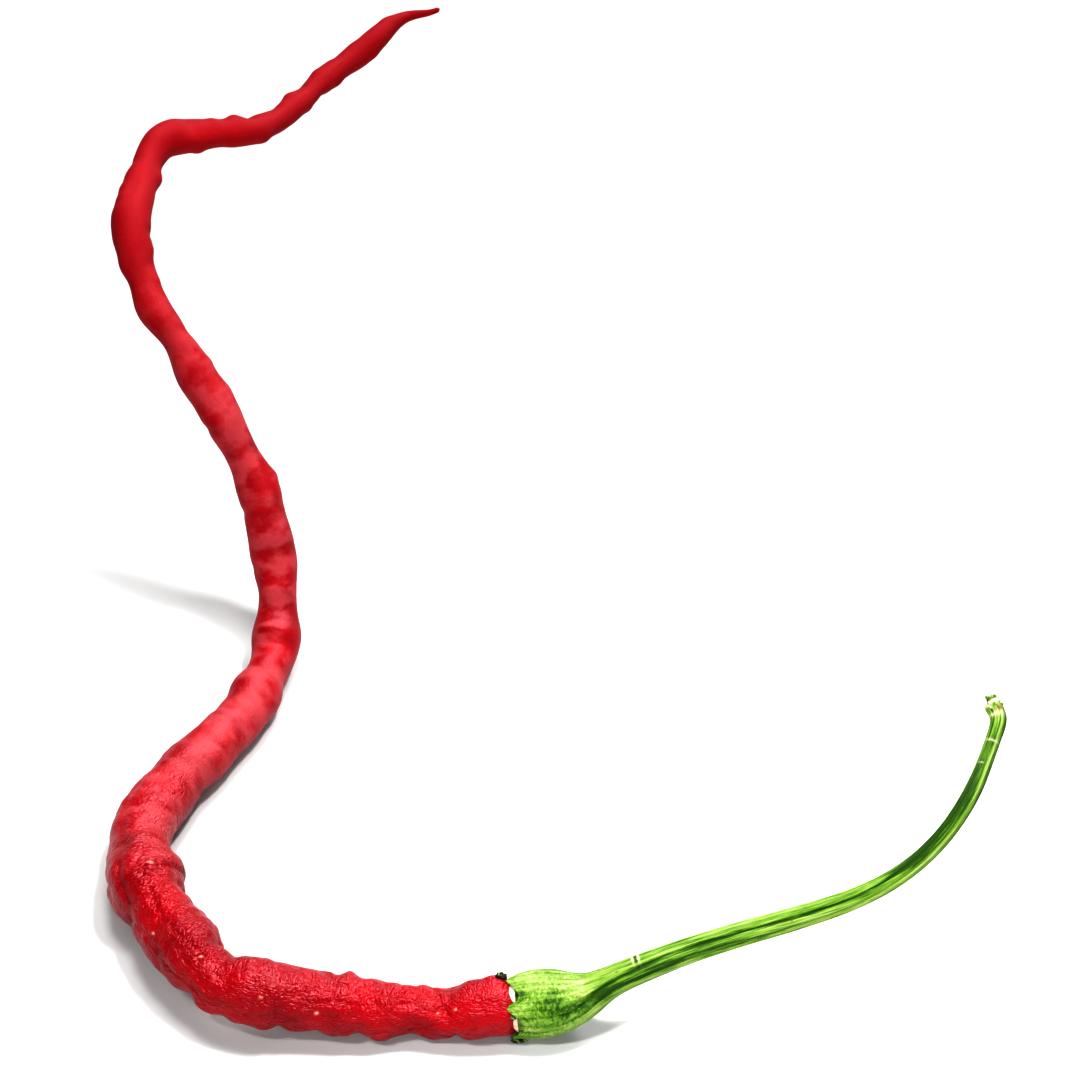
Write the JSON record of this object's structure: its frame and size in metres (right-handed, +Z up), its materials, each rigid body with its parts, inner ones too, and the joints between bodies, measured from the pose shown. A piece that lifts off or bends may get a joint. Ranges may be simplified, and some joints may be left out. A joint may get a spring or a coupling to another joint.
{
  "type": "long red chilli pepper",
  "caption": "One long, thin, slightly shrivelled red chilli with its green calyx and stalk, lying curved, with its tip end reared up off the table.",
  "frame": {"origin": "on the table under the middle of the chilli's box", "axes": "+Z up, +X the way the stalk points, +Y from the front stretch of the pod towards the reared tip"},
  "size_m": [0.1297, 0.1772, 0.0615],
  "materials": {
    "red_skin": "satin red skin with fine lengthwise and crosswise wrinkles",
    "green_stalk": "matt green, ribbed and mottled"
  },
  "bodies": {
    "root": {"pod": "red_skin", "stalk": "green_stalk"}
  },
  "joints": []
}
